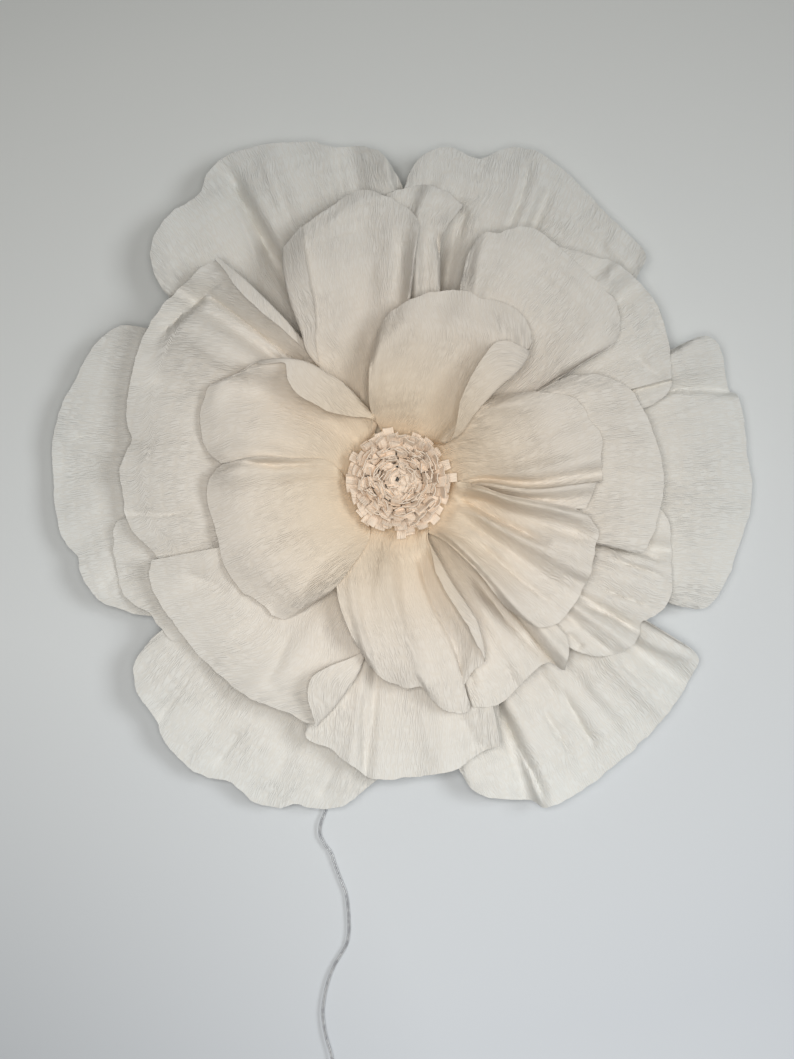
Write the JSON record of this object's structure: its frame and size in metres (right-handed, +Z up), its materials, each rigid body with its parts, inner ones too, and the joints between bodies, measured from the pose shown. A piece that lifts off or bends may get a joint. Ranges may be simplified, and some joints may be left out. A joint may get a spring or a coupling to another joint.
{
  "type": "giant paper flower wall light",
  "caption": "Large layered crepe-paper flower for a wall, with a fringed paper centre, a hidden strip light behind it and a thin clear lead.",
  "frame": {"origin": "middle of the back board's rear face, which lies on the wall", "axes": "+Y into the wall, square to the board's rear face; the flower faces -Y; +Z up; +X to the viewer's right"},
  "size_m": [0.6909, 0.1153, 1.0531],
  "materials": {
    "crepe_paper": "matt cream crepe paper",
    "centre_paper": "matt cream crepe paper, thick folded strip",
    "card": "matt card and rigid foam",
    "board": "bare plywood",
    "plastic": "satin white plastic",
    "cord_sheath": "clear flexible sheath over silvery cores",
    "steel": "bright zinc-plated steel",
    "light_strip": "flexible strip with warm lamps"
  },
  "bodies": {
    "root": {"back_board": "board", "back_petal_bottom_left": "crepe_paper", "back_petal_bottom_right": "crepe_paper", "back_petal_left": "crepe_paper", "back_petal_right": "crepe_paper", "back_petal_top_left": "crepe_paper", "back_petal_top_right": "crepe_paper", "coil_tie": "plastic", "cord": "cord_sheath", "cord_block": "plastic", "cord_coil": "cord_sheath", "cord_sleeve": "plastic", "cord_tail": "cord_sheath", "drum": "card", "fringed_centre": "centre_paper", "front_petal_bottom": "crepe_paper", "front_petal_disc": "card", "front_petal_lower_left": "crepe_paper", "front_petal_lower_right": "crepe_paper", "front_petal_right": "crepe_paper", "front_petal_top": "crepe_paper", "front_petal_upper_left": "crepe_paper", "front_spacer": "card", "hanger_plate": "steel", "hanger_screw_left": "steel", "hanger_screw_right": "steel", "light_strip": "light_strip", "middle_petal_bottom": "crepe_paper", "middle_petal_disc": "card", "middle_petal_left": "crepe_paper", "middle_petal_lower_left": "crepe_paper", "middle_petal_lower_right": "crepe_paper", "middle_petal_right": "crepe_paper", "middle_petal_top_left": "crepe_paper", "middle_petal_upper_right": "crepe_paper", "middle_spacer": "card", "outer_petal_bottom": "crepe_paper", "outer_petal_disc": "card", "outer_petal_left": "crepe_paper", "outer_petal_lower_right": "crepe_paper", "outer_petal_top": "crepe_paper", "outer_petal_upper_right": "crepe_paper", "plug_body": "plastic", "plug_shell": "steel"}
  },
  "joints": []
}
